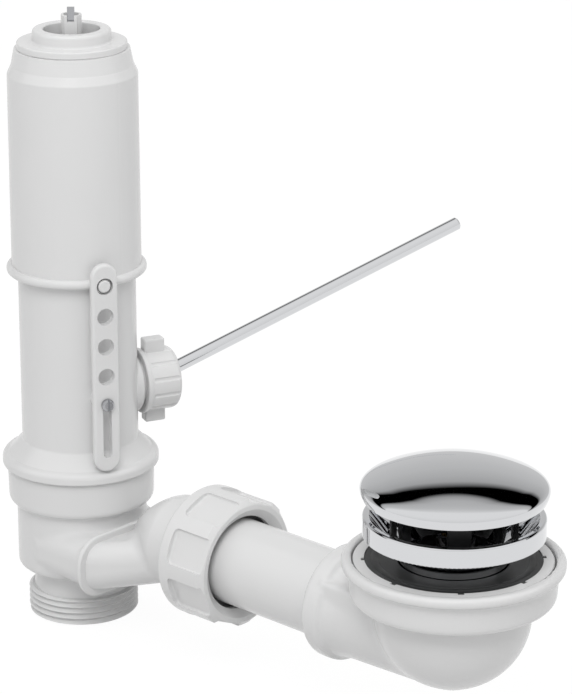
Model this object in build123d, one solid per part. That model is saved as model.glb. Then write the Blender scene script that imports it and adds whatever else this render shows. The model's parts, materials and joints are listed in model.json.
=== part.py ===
"""Bath waste and overflow: covered waste, connecting pipe and overflow tower with lift lever.

Millimetres. The Z axis is the tower's axis, with Z = 0 at the end of the threaded outlet.
+X runs along the connecting pipe, from the tower to the waste.
"""
import os
from math import atan2, cos, degrees, hypot, radians, sin, sqrt

from build123d import *

# Walls and clearances
WALL = 2.2                      # moulded wall of the large bodies
TUBE_WALL = 1.8                 # wall of pipes and sleeves
FIT = 0.1                       # radial gap between pieces that are pushed or screwed together
SLIDE = 0.2                     # gap between pieces that slide on each other
SWING = 0.3                     # gap round the lever and what it lifts

# Standpipe in the tower tube
STANDPIPE_R = 14.0
STANDPIPE_WALL = 1.7
ANNULUS = 6.22                  # room for water between standpipe and tube
TUBE_BORE_R = STANDPIPE_R + ANNULUS
TUBE_R = TUBE_BORE_R + TUBE_WALL
TUBE_TOP = 198.0

# Foot of the tower
OUTLET_GAP = 1.6                # room round the standpipe's end
OUTLET_R = STANDPIPE_R + OUTLET_GAP
THROAT_WALL = 3.0
THROAT_R = OUTLET_R + THROAT_WALL       # plain neck above the thread
THREAD_WALL = 5.355             # up to the crests: with this bore a G 1 1/4 pipe thread
THREAD_R = OUTLET_R + THREAD_WALL
THREAD_LENGTH = 10.6
TUBE_ROOM = 0.42                # gap round the tube's end in the foot
CHAMBER_R = TUBE_R + TUBE_ROOM
BODY_R = CHAMBER_R + WALL
BODY_BOTTOM = 19.6
BODY_ROUND = 2.0
CHAMBER_FLOOR = BODY_BOTTOM + WALL
SEAT_TOP = 25.0                 # seat of the standpipe
SEAT_WIDTH = 2.2
TUBE_SEAL_WIDTH = 3.13
TUBE_SEAL_HEIGHT = 6.0
CUP_BOTTOM = 45.75              # seal cup on top of the foot
CUP_HEIGHT = 14.65
CUP_TOP = CUP_BOTTOM + CUP_HEIGHT
CUP_FLOOR = CUP_BOTTOM + WALL
CUP_LOW_R = TUBE_R + TUBE_SEAL_WIDTH + 2 * FIT + WALL
CUP_DRAFT = 0.35
CUP_TOP_R = CUP_LOW_R + CUP_DRAFT
CUP_ROUND = 2.2

# Wide inlet duct through the foot, and its weld rim
DUCT_Z = 30.0
DUCT_OVERHANG = 0.56            # duct beyond the body's sides
DUCT_HALF_WIDTH = BODY_R + DUCT_OVERHANG
DUCT_HALF_HEIGHT = 9.5
DUCT_ROUND = 7.5                # corners of its section
DUCT_BACK = -3.0
DUCT_BACK_ROUND = 5.0           # corners of its blind end, seen from above
RIM_SETBACK = 2.76
RIM_X = BODY_R + RIM_SETBACK    # plane where the foot and the inlet neck are welded together
RIM_THICKNESS = 1.2             # of each half of the rim
RIM_WIDTH = 3.2                 # rim beyond the duct, sideways
RIM_HEIGHT = 2.5                # rim beyond the duct, up and down
RIM_CORNER = 10.8
RIM_ROUND = 0.7                 # outer edges of the rim

# Inlet neck
PIPE_R = 16.0                   # the pipe that the neck takes
PIPE_Z = 42.36                  # height of the pipe's axis
NECK_STEP = 0.95                # neck beyond the pipe
NECK_R = PIPE_R + NECK_STEP
DOME_SETBACK = 25.9
DOME_X = RIM_X + DOME_SETBACK   # where the domed end of the neck becomes a cylinder
DOME_LENGTH = 22.0
DOME_FULLNESS = 0.25            # 0 for a cone, 0.55 for an ellipse
NECK_BLEND = 6.0                # fillet between the narrowing duct and the neck
LOBE_SETBACK = 28.6
LOBE_X = RIM_X + LOBE_SETBACK   # where the duct has narrowed into the neck
LOBE_DROP = 5.86                # below the pipe's axis
LOBE_Z = PIPE_Z - LOBE_DROP
LOBE_INSET = 3.45               # inside the neck's sides
LOBE_HALF_WIDTH = NECK_R - LOBE_INSET
LOBE_HALF_HEIGHT = 8.6
LOBE_ROUND = 8.5
NECK_LENGTH = 35.8              # from the weld to the spigot
SPIGOT_X = RIM_X + NECK_LENGTH
SPIGOT_LENGTH = 16.0
SPIGOT_END = SPIGOT_X + SPIGOT_LENGTH
SPIGOT_WALL = 4.855             # up to the crests of its thread
SPIGOT_R = PIPE_R + FIT + SPIGOT_WALL
SPIGOT_MOUTH = 2.0              # cone in the spigot's mouth, for the seal

# Waste's place, and the pipe between its elbow and the neck
WASTE_X = 186.5                 # axis of the waste, from the tower's axis
ELBOW_LENGTH = 52.5             # from the waste's axis to the elbow's mouth
ELBOW_START = WASTE_X - ELBOW_LENGTH
PIPE_STOP = 1.0                 # from the spigot's shoulder to the pipe's end
PIPE_START = SPIGOT_X + PIPE_STOP
PIPE_DEPTH = 18.0               # of the pipe in the elbow
PIPE_END = ELBOW_START + PIPE_DEPTH

# Union nut, washer and seal
NUT_SETBACK = 2.7               # from the spigot's shoulder
NUT_X = SPIGOT_X + NUT_SETBACK
NUT_REACH = 8.8                 # beyond the spigot's end
NUT_END = SPIGOT_END + NUT_REACH
NUT_WALL = 3.445
NUT_R = SPIGOT_R + FIT + NUT_WALL
NUT_PANEL_DEPTH = 2.0
NUT_FLAT = NUT_R - NUT_PANEL_DEPTH      # from the axis to the floor of each panel
NUT_HOLE_GAP = 1.6              # round the pipe
NUT_HOLE_R = PIPE_R + NUT_HOLE_GAP
NUT_FACE = 4.6                  # depth of the front wall
NUT_SLOPE = 2.1                 # sloping ends of the ribs
NUT_FRONT_R = NUT_R - NUT_SLOPE
NUT_CREST = 1.8                 # width of the front face
NUT_CREST_R = NUT_FRONT_R - NUT_CREST
NUT_DISH = 2.4                  # hollow of the front wall towards its hole
NUT_SIDES = 8
NUT_PANEL_WIDTH = 13.4
NUT_COLLAR = 4.9                # plain band behind the panels
NUT_PANEL_START = NUT_X + NUT_COLLAR
NUT_PANEL_CORNER = 2.0
NUT_PANEL_FLOOR = 0.8           # fillet along the floor of each panel
NUT_RIB_SLOPE = 1.8
NUT_RIB_END = NUT_END - NUT_RIB_SLOPE   # where the ribs between the panels slope to the front
NUT_BEVEL = 1.2
NUT_INNER_FACE = NUT_END - NUT_FACE
WASHER_THICKNESS = 1.5
WASHER_START = NUT_INNER_FACE - WASHER_THICKNESS
WASHER_GAP = 0.855              # inside the nut's thread
WASHER_R = SPIGOT_R + FIT - WASHER_GAP
SEAL_NOSE = 1.7                 # length of the seal's nose inside the spigot

# Waste body: elbow, bowl and head
BOWL_R = 27.44
BOWL_Z = 53.57                  # centre of the bowl's half sphere
ELBOW_WALL = 2.3
ELBOW_R = PIPE_R + FIT + ELBOW_WALL     # at its mouth
ELBOW_DRAFT = 1.0
ELBOW_END_R = ELBOW_R - ELBOW_DRAFT     # at the bowl
PIPE_LEDGE = 1.6                # stop for the pipe's end
ELBOW_BORE_R = PIPE_R - PIPE_LEDGE
BEAD_HEIGHT = 2.6
BEAD_R = ELBOW_R + BEAD_HEIGHT  # bead round the elbow's mouth
BEAD_LENGTH = 7.7
BEAD_END = ELBOW_START + BEAD_LENGTH
BEAD_ROUND = 1.6
BEAD_CONE = 6.0
SHOULDER_DROP = 5.0
SHOULDER = ELBOW_R - SHOULDER_DROP      # height of the elbow's flat shoulders above its axis
SHOULDER_INSET = 0.1
SHOULDER_HALF_WIDTH = ELBOW_END_R - SHOULDER_INSET
HEAD_BOTTOM = 58.7
HEAD_FLOOR = HEAD_BOTTOM + WALL
HEAD_LOW_R = 35.6
HEAD_DRAFT = 0.7
HEAD_TOP_R = HEAD_LOW_R + HEAD_DRAFT
HEAD_ROUND = 2.5
HEAD_BLEND = 1.5                # fillet between bowl and head
HEAD_WALL = 1.6
RECESS_R = HEAD_LOW_R - HEAD_WALL       # inside of the head
RIM_BOTTOM = 70.0
RIM_DEPTH = 3.6
RIM_TOP = RIM_BOTTOM + RIM_DEPTH
RIM_LEDGE = 2.35
RIM_R = HEAD_TOP_R + RIM_LEDGE
RECESS_DEPTH = 4.1
RECESS_STEP = RIM_TOP - RECESS_DEPTH    # step that carries the seal carrier
MOUTH_WALL = 1.2
RECESS_MOUTH_R = HEAD_TOP_R - MOUTH_WALL
SPIDER_DROP = 4.7               # below the head
SPIDER_BOTTOM = HEAD_BOTTOM - SPIDER_DROP
SPIDER_HEIGHT = 6.0
SPIDER_TOP = SPIDER_BOTTOM + SPIDER_HEIGHT
SPIDER_HUB_R = 8.0
SPIDER_ARM = 3.2
SPIDER_ARMS = 3
INSERT_R = 5.0
INSERT_FLOOR = 1.5              # of the spider, below the insert
INSERT_BOTTOM = SPIDER_BOTTOM + INSERT_FLOOR

# Seal carrier and gasket under the basin, with the throat that passes them
DRAIN_R = 19.0
CARRIER_GAP = 0.5               # in the head's mouth
CARRIER_R = RECESS_MOUTH_R - CARRIER_GAP
CARRIER_SINK = 0.7              # below the rim's top
CARRIER_TOP = RIM_TOP - CARRIER_SINK
CARRIER_PLATE = 1.7
CARRIER_LEDGE = 4.0             # round the gasket
SKIRT_INSET = 3.0
CARRIER_SKIRT_R = CARRIER_R - SKIRT_INSET
GASKET_GAP = 0.5                # round the throat
GASKET_HOLE_R = DRAIN_R + GASKET_GAP
GASKET_R = CARRIER_R - CARRIER_LEDGE
GASKET_RECESS = 1.5
GASKET_SEAT = CARRIER_TOP - GASKET_RECESS
GASKET_THICKNESS = 1.2
GASKET_TOP = GASKET_SEAT + GASKET_THICKNESS
CARRIER_HOLE_GAP = 2.5          # carrier's hole beyond the gasket's
CARRIER_HOLE_R = GASKET_HOLE_R + CARRIER_HOLE_GAP
TAB_COUNT = 8
TAB_WIDTH = 2.0
TAB_REACH = 1.1

# Waste flange, screw and cover
BASIN = 9.2                     # room for the basin's floor
FLANGE_R = 31.5
FLANGE_BOTTOM = GASKET_TOP + BASIN
FLANGE_HEIGHT = 7.1
FLANGE_TOP = FLANGE_BOTTOM + FLANGE_HEIGHT
FLANGE_LIP = 2.2                # width of the rim's top
DISH_WIDTH = 4.2
DISH_R = DRAIN_R + DISH_WIDTH   # dish inside the flange
DISH_DROP = 1.4
DISH_Z = FLANGE_BOTTOM - DISH_DROP
DISH_WALL = 2.4
FLANGE_SEAT_R = DISH_R + DISH_WALL      # inner edge of the flat underside
DRAIN_WALL = 1.6
DRAIN_RISE = 2.3
DRAIN_SHOULDER = GASKET_TOP + DRAIN_RISE        # where the throat widens, above the gasket
DRAIN_LIFT = 2.1
DRAIN_BOTTOM = HEAD_FLOOR + DRAIN_LIFT
STRAINER_LIFT = 5.5
STRAINER_BOTTOM = DRAIN_BOTTOM + STRAINER_LIFT
STRAINER_HEIGHT = 3.0
STRAINER_TOP = STRAINER_BOTTOM + STRAINER_HEIGHT
STRAINER_HUB_R = 7.0
STRAINER_BAR = 3.0
STRAINER_BARS = 4
SCREW_R = 3.0
SCREW_HEAD_R = 5.2
SCREW_HEAD = 3.5
SCREW_END = 6.0                 # below the spider
SCREW_BOTTOM = SPIDER_BOTTOM - SCREW_END
COVER_R = 32.5
COVER_GAP = 6.8                 # between flange and cover
COVER_EDGE = FLANGE_TOP + COVER_GAP     # lower edge of the cover
COVER_SIDE = 4.4
COVER_SHOULDER = COVER_EDGE + COVER_SIDE        # where its dome begins
COVER_RISE = 8.1
COVER_SPHERE_R = (COVER_R ** 2 + COVER_RISE ** 2) / (2 * COVER_RISE)
COVER_CENTRE = COVER_SHOULDER + COVER_RISE - COVER_SPHERE_R     # height of the dome's centre
COVER_ROUND = 3.0
COVER_WALL = 1.4
COVER_BOSS_R = 6.0
COVER_BOSS = 3.2
COVER_BOSS_BOTTOM = COVER_SHOULDER + COVER_RISE - COVER_BOSS
LEG_COUNT = 4
LEG_INSET = 1.2
LEG_R = DISH_R - LEG_INSET      # outside of the carrier's legs
LEG_THICKNESS = 2.2
LEG_WIDTH = 8.0
CARRIER_DISC = 2.0
DISC_GAP = 0.7343               # from its edge up to the cover
DOME_INSIDE = COVER_CENTRE + sqrt((COVER_SPHERE_R - COVER_WALL) ** 2 - LEG_R ** 2)      # over that edge
CARRIER_DISC_BOTTOM = DOME_INSIDE - DISC_GAP - CARRIER_DISC
CARRIER_POST_R = 5.0

# Foot of the tower tube, and its wiper
TUBE_LIFT = 0.75
TUBE_BOTTOM = CUP_BOTTOM + TUBE_LIFT
FOOT_HEIGHT = 10.2
FOOT_TOP = CUP_TOP + FOOT_HEIGHT        # where the flared foot meets the tube
FOOT_OVERHANG = 1.8
FOOT_R = CUP_TOP_R + FOOT_OVERHANG
FOOT_BEAD = 2.5                 # width of the bead on the flare's edge
FOOT_RIDGE_R = FOOT_R - FOOT_BEAD       # crease between the flare and the bead
FOOT_EDGE_HEIGHT = 3.8
FOOT_EDGE = CUP_TOP + FOOT_EDGE_HEIGHT
FOOT_RIDGE_RISE = 1.0
FOOT_RIDGE = FOOT_EDGE + FOOT_RIDGE_RISE
FOOT_ROUND = 2.2
SLEEVE_SEAL_HEIGHT = 3.5

# Sleeve and its head
SLEEVE_BORE_R = TUBE_R + SLIDE + FIT
SLEEVE_WALL = 1.95
SLEEVE_LOW_R = SLEEVE_BORE_R + SLEEVE_WALL
SLEEVE_DRAFT = 0.22
SLEEVE_TOP_R = SLEEVE_LOW_R - SLEEVE_DRAFT
SLEEVE_BOTTOM = 136.0
HEADROOM = 13.8                 # over the tube's top, at rest
SLEEVE_BEVEL = TUBE_TOP + HEADROOM
BEVEL_WIDTH = 1.55
BEVEL_TOP_R = SLEEVE_TOP_R - BEVEL_WIDTH
BEVEL_HEIGHT = 3.4
BEVEL_TOP = SLEEVE_BEVEL + BEVEL_HEIGHT
BEVEL_ROUND = 1.2
CONE_WIDTH = 1.2
CONE_TOP_R = BEVEL_TOP_R - CONE_WIDTH
CONE_HEIGHT = 5.9
CONE_TOP = BEVEL_TOP + CONE_HEIGHT
LIP_WIDTH = 1.93
LIP_R = SLEEVE_LOW_R + LIP_WIDTH
LIP_HEIGHT = 3.4
LIP_ROUND = 1.6
CAP_STEP = 1.0
CAP_R = CONE_TOP_R - CAP_STEP
CAP_RISE = 2.6
CAP_TOP = CONE_TOP + CAP_RISE
CAP_PLATE = 2.4
CAP_SPIGOT = 4.0
CAP_HOLE_R = 10.4
CAP_NECK_WALL = 4.1
CAP_NECK_R = CAP_HOLE_R + CAP_NECK_WALL
CAP_NECK_HEIGHT = 4.7
CAP_NECK_TOP = CAP_TOP + CAP_NECK_HEIGHT

# Height strip with its peg and guide screw
STRIP_HEADING = -23.0           # degrees from +X
STRIP_GAP = 0.7                 # behind the strip, to the sleeve's lip
STRIP_BACK = LIP_R + STRIP_GAP  # from the tower's axis
STRIP_THICKNESS = 3.1
STRIP_FACE = STRIP_BACK + STRIP_THICKNESS
STRIP_WIDTH = 10.2
STRIP_LIFT = 0.5                # over the flare's bead
STRIP_BOTTOM = FOOT_RIDGE + STRIP_LIFT
STRIP_EDGE = 1.0                # rounding of its outer edges
STRIP_HOLES = 4
STRIP_HOLE_R = 3.2
STRIP_PITCH = 11.65
PEG_RISE = 2.0
PEG_Z = SLEEVE_BOTTOM + PEG_RISE
STRIP_END = 8.4                 # above the peg
STRIP_TOP = PEG_Z + STRIP_END
PEG_BOSS_R = 4.2
PEG_TIP_R = 2.4
PEG_TIP = 2.1                   # length of the thinner tip in the strip's hole
PEG_ROUND = 0.7
SLOT_RISE = 26.6                # from the strip's bottom to the screw
SLOT_TOP = STRIP_BOTTOM + SLOT_RISE
SLOT_TRAVEL = 19.4
GUIDE_SHANK_R = 1.5
GUIDE_HEAD_R = 2.4
GUIDE_HEAD = 1.8
GUIDE_PILLAR_R = 3.8

# Lever with its boss, ball and winged nut; distances are from the tower's axis
LEVER_HEADING = 67.5            # degrees from +X
LEVER_TILT = 19.66              # degrees up from level
LEVER_Z = 88.7
BALL_R = 5.5
BALL_ROOM = 1.7                 # round the ball, for its seats
SOCKET_BORE_R = BALL_R + BALL_ROOM
SOCKET_WALL = 2.2
SOCKET_R = SOCKET_BORE_R + SOCKET_WALL  # threaded socket that carries the winged nut
BOSS_WALL = 1.7
BOSS_R = SOCKET_R + BOSS_WALL
BOSS_RISE = 0.18
BOSS_END = TUBE_R + BOSS_RISE
SOCKET_FLOOR = 2.98
SOCKET_STEP = TUBE_R + SOCKET_FLOOR
BALL_DEPTH = 5.3
BALL_DISTANCE = SOCKET_STEP + BALL_DEPTH        # centre of the ball
SOCKET_RIM = 2.7
SOCKET_END = BALL_DISTANCE + SOCKET_RIM
LEVER_HOLE_R = 5.9
SEAT_HOLE_R = 5.0
SEAT_LENGTH = 3.4
LEVER_NUT_WALL = 2.5
LEVER_NUT_R = SOCKET_R + FIT + LEVER_NUT_WALL
LEVER_NUT_GAP = 1.4             # to the boss
LEVER_NUT_START = BOSS_END + LEVER_NUT_GAP
LEVER_NUT_LID = 4.9
LEVER_NUT_END = SOCKET_END + LEVER_NUT_LID
LEVER_NUT_ROUND = 2.5
LEVER_NUT_BEAD = 0.5            # height of the bead on its rear edge
LEVER_NUT_BEAD_WIDTH = 1.8
LEVER_NUT_HOLE_R = 6.2
LEVER_NUT_FLUTES = 12
FLUTE_R = 1.1
FLUTE_SETBACK = 2.6
FLUTE_START = LEVER_NUT_START + FLUTE_SETBACK
WING_REACH = 4.6                # beyond the nut
WING_SPAN = LEVER_NUT_R + WING_REACH
WING_THICKNESS = 5.0
WING_SETBACK = 2.2
WING_START = LEVER_NUT_START + WING_SETBACK
WING_LENGTH = 8.2
WING_END = WING_START + WING_LENGTH
WING_ROUND = 0.8
ROD_R = 2.5
ROD_REACH = 137.5               # from the ball's centre to the rod's outer end
ROD_BALL_R = 2.0                # where the ball is pressed on
ROD_INNER_R = 1.5
ROD_TIP_R = 2.6
ROD_CHAMFER = 0.6
TIP_GAP = 1.0811                # between the rod's tip and the standpipe
TIP_RADIUS = STANDPIPE_R + TIP_GAP + ROD_TIP_R
ROD_TIP_REACH = (BALL_DISTANCE - TIP_RADIUS) / cos(radians(LEVER_TILT))         # from the ball's centre
TIP_Z = LEVER_Z - ROD_TIP_REACH * sin(radians(LEVER_TILT))

# Standpipe's ends, seal and collar, and its lift stem
STANDPIPE_DROP = 2.0            # below the tube's top
STANDPIPE_TOP = TUBE_TOP - STANDPIPE_DROP
STANDPIPE_BOTTOM = 17.0
SEAT_SEAL = 1.3
SEAL_FLANGE_BOTTOM = SEAT_TOP + SEAT_SEAL
SEAL_LAP = 1.8                  # over the seat
SEAL_FLANGE_R = OUTLET_R + SEAL_LAP
SEAL_FLANGE = 2.2
COLLAR_GAP = 1.22               # inside the tube
COLLAR_R = TUBE_BORE_R - COLLAR_GAP
COLLAR = 2.6
COLLAR_BOTTOM = TIP_Z + ROD_TIP_R + SWING
GUIDE_RIBS = 4
GUIDE_RIB = 1.8
GUIDE_RIB_TOP = 24.0
STEM_HEADING = -46.6            # degrees from +X, of the stem's front
STEM_R = 3.8
STEM_RISE = 5.1                 # above the sleeve's head
STEM_TOP = CAP_NECK_TOP + STEM_RISE
STEM_DEPTH = 12.0               # in the standpipe
STEM_BOTTOM = STANDPIPE_TOP - STEM_DEPTH
STEM_RING = 10.0
STEM_ARM = 3.0
STEM_ARMS = 3
STEM_RIB = 4.6                  # flat rib on its front
STEM_RIB_FACE = 4.2             # from the axis to the rib's face
STEM_BORE_R = 2.9               # bore in its top, for the blade
STEM_BORE = 11.5
STEM_BORE_FLOOR = STEM_TOP - STEM_BORE
STEM_WINDOW = 2.6               # width of the window in the rib, in front of the blade
STEM_WINDOW_HEIGHT = 2.1
STEM_SILL = STEM_TOP - STEM_WINDOW_HEIGHT
BLADE_WIDTH = 2.7
BLADE_THICKNESS = 1.0
BLADE_BACK = 1.4                # from the stem's axis
BLADE_RISE = 3.0
BLADE_TOP = STEM_TOP + BLADE_RISE

# Working frames: each has its own Z along the axis that it is named for
PIPE_FRAME = Plane(origin=(0, 0, PIPE_Z), x_dir=(0, 1, 0), z_dir=(1, 0, 0))
WASTE_FRAME = Plane(origin=(WASTE_X, 0, 0))


def heading_frame(heading, height):
    """Frame at a height on the tower's axis: Z outwards along the heading, Y up."""
    turn = radians(heading)
    return Plane(origin=(0, 0, height), x_dir=(-sin(turn), cos(turn), 0), z_dir=(cos(turn), sin(turn), 0))


STRIP_FRAME = heading_frame(STRIP_HEADING, 0)
LEVER_FRAME = heading_frame(LEVER_HEADING, LEVER_Z)
ROD_FRAME = LEVER_FRAME * Pos(0, 0, BALL_DISTANCE) * Rot(-LEVER_TILT, 0, 0)


def outline(corners):
    """Closed outline in the XZ plane. A corner is (radius, height) or (radius, height, rounding)."""
    points = [corner[:2] for corner in corners]
    rounds = [corner[2] if len(corner) > 2 else 0 for corner in corners]
    return Plane.XZ * make_face(FilletPolyline(*points, radius=rounds, close=True))


def turned(corners):
    """Solid of revolution about Z from its outline."""
    return revolve(outline(corners), Axis.Z)


def rod(radius, bottom, top):
    """Plain cylinder on the Z axis."""
    return Pos(0, 0, bottom) * Cylinder(radius, top - bottom, align=(Align.CENTER, Align.CENTER, Align.MIN))


def ring(outer, inner, bottom, top):
    """Plain ring on the Z axis."""
    return rod(outer, bottom, top) - rod(inner, bottom, top)


def bar(start, end, width, bottom, top):
    """Upright bar along X between two radii, with its width along Y."""
    middle = (start + end) / 2
    return Pos(middle, 0, (bottom + top) / 2) * Box(end - start, width, top - bottom)


def around(piece, count, first=0):
    """Copies of a piece, evenly spaced about the Z axis."""
    return [Rot(0, 0, first + 360 * index / count) * piece for index in range(count)]


def along_x(section, start, end):
    """Section in the YZ plane, extruded along X."""
    return extrude(Plane.YZ.offset(start) * section, end - start)


def duct_section(half_width, half_height, corner, height):
    """Section of the inlet duct."""
    return Pos(0, height) * RectangleRounded(2 * half_width, 2 * half_height, corner)


def duct_taper(start, inset):
    """Inlet duct narrowing into the round neck; inset gives its inside."""
    wide = duct_section(DUCT_HALF_WIDTH - inset, DUCT_HALF_HEIGHT - inset, DUCT_ROUND - inset, DUCT_Z)
    narrow = duct_section(LOBE_HALF_WIDTH - inset, LOBE_HALF_HEIGHT - inset, LOBE_ROUND - inset, LOBE_Z)
    return loft([Plane.YZ.offset(start) * wide, Plane.YZ.offset(LOBE_X) * narrow], ruled=True)


def weld_rim(end):
    """Half of the rim where the foot and the inlet neck are welded together, rounded on its outer edge."""
    section = duct_section(DUCT_HALF_WIDTH + RIM_WIDTH, DUCT_HALF_HEIGHT + RIM_HEIGHT, RIM_CORNER, DUCT_Z)
    rim = along_x(section, min(RIM_X, end), max(RIM_X, end))
    outer_face = rim.faces().sort_by(Axis.X)[0 if end < RIM_X else -1]
    return fillet(outer_face.edges(), RIM_ROUND)


# Foot, neck and connecting pipe

def base_body():
    """Foot of the tower: threaded outlet, chamber, inlet duct and seal cup, moulded in one."""
    foot = turned([
        (0, 0), (THREAD_R, 0), (THREAD_R, THREAD_LENGTH), (THROAT_R, THREAD_LENGTH), (THROAT_R, BODY_BOTTOM),
        (BODY_R, BODY_BOTTOM, BODY_ROUND), (BODY_R, CUP_BOTTOM), (CUP_LOW_R, CUP_BOTTOM, CUP_ROUND),
        (CUP_TOP_R, CUP_TOP), (0, CUP_TOP),
    ])
    rim_back = RIM_X - RIM_THICKNESS
    section = duct_section(DUCT_HALF_WIDTH, DUCT_HALF_HEIGHT, DUCT_ROUND, DUCT_Z)
    hollow = duct_section(DUCT_HALF_WIDTH - WALL, DUCT_HALF_HEIGHT - WALL, DUCT_ROUND - WALL, DUCT_Z)
    duct = along_x(section, DUCT_BACK, rim_back)
    plan = FilletPolyline(
        (rim_back, -DUCT_HALF_WIDTH), (DUCT_BACK, -DUCT_HALF_WIDTH), (DUCT_BACK, DUCT_HALF_WIDTH),
        (rim_back, DUCT_HALF_WIDTH), radius=[0, DUCT_BACK_ROUND, DUCT_BACK_ROUND, 0], close=True,
    )
    duct &= extrude(make_face(plan), CUP_TOP)
    chamber = rod(CHAMBER_R, CHAMBER_FLOOR, CUP_TOP)
    cup = turned([
        (0, CUP_FLOOR), (CUP_LOW_R - WALL, CUP_FLOOR), (CUP_TOP_R - WALL, CUP_TOP), (0, CUP_TOP),
    ])
    inlet = along_x(hollow, DUCT_BACK + DUCT_BACK_ROUND, RIM_X)
    seat = ring(OUTLET_R + SEAT_WIDTH, OUTLET_R, BODY_BOTTOM, SEAT_TOP)
    body = foot + duct + weld_rim(rim_back) - chamber - cup - inlet - rod(OUTLET_R, 0, SEAT_TOP)
    return body + seat


def neck_turning(radius, length, corners):
    """Turned neck in the pipe's frame: a domed end of the given radius, then the listed corners."""
    tip = DOME_X - length
    dome = Bezier(
        (0, tip), (DOME_FULLNESS * radius, tip), (radius, DOME_X - DOME_FULLNESS * length), (radius, DOME_X),
    )
    sides = Polyline((radius, DOME_X), *corners, (0, corners[-1][1]), (0, tip))
    return PIPE_FRAME * revolve(Plane.XZ * make_face(dome + sides), Axis.Z)


def inlet_neck():
    """Bell-shaped neck from the wide duct to the round threaded spigot of the union."""
    bore = PIPE_R + FIT
    rim_front = RIM_X + RIM_THICKNESS
    neck = neck_turning(NECK_R, DOME_LENGTH, [
        (NECK_R, SPIGOT_X), (SPIGOT_R, SPIGOT_X), (SPIGOT_R, SPIGOT_END),
    ])
    taper = duct_taper(rim_front, 0)
    outside = neck + taper
    outside = fillet(new_edges(neck, taper, combined=outside), NECK_BLEND) + weld_rim(rim_front)
    inside = neck_turning(NECK_R - WALL, DOME_LENGTH - WALL, [
        (NECK_R - WALL, PIPE_START), (bore, PIPE_START), (bore, SPIGOT_END - SPIGOT_MOUTH),
        (bore + SPIGOT_MOUTH, SPIGOT_END),
    ])
    return outside - (inside + duct_taper(RIM_X, WALL))


def compression_nut():
    """Union nut with ribs between the recessed panels of its sides."""
    blank = turned([
        (0, NUT_X), (NUT_R, NUT_X, NUT_BEVEL), (NUT_R, NUT_RIB_END, 0.5), (NUT_FRONT_R, NUT_END, 0.8),
        (NUT_CREST_R, NUT_END, 0.6), (NUT_HOLE_R, NUT_END - NUT_DISH), (0, NUT_END - NUT_DISH),
    ])
    bore = turned([
        (0, NUT_X), (SPIGOT_R + FIT, NUT_X), (SPIGOT_R + FIT, NUT_INNER_FACE), (NUT_HOLE_R, NUT_INNER_FACE),
        (NUT_HOLE_R, NUT_END), (0, NUT_END),
    ])
    panel = bar(NUT_FLAT, NUT_R + WALL, NUT_PANEL_WIDTH, NUT_PANEL_START, NUT_END + WALL)
    panel = fillet(panel.edges().filter_by(Axis.X), NUT_PANEL_CORNER)
    panel = fillet(panel.faces().sort_by(Axis.X)[0].edges(), NUT_PANEL_FLOOR)
    return PIPE_FRAME * (blank - bore - around(panel, NUT_SIDES, first=180 / NUT_SIDES))


def slip_washer():
    """Ring that lets the nut turn on the seal."""
    return PIPE_FRAME * ring(WASHER_R, PIPE_R + WALL / 2, WASHER_START, NUT_INNER_FACE)


def pipe_seal():
    """Rubber ring with a conical nose that is squeezed between spigot, nut and pipe."""
    inner = PIPE_R + FIT / 2
    nose = SPIGOT_END - SEAL_NOSE
    return PIPE_FRAME * turned([
        (inner, nose), (inner + FIT + 0.2, nose), (inner + SEAL_NOSE, SPIGOT_END + FIT),
        (WASHER_R, SPIGOT_END + FIT), (WASHER_R, WASHER_START), (inner, WASHER_START),
    ])


def connecting_pipe():
    """Pipe from the waste to the tower."""
    return PIPE_FRAME * ring(PIPE_R, PIPE_R - TUBE_WALL, PIPE_START, PIPE_END)


# Waste

def half_bowl(radius):
    """Lower half of the bowl's sphere."""
    return Pos(0, 0, BOWL_Z) * Sphere(radius, arc_size1=-90, arc_size2=0, align=None)


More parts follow.
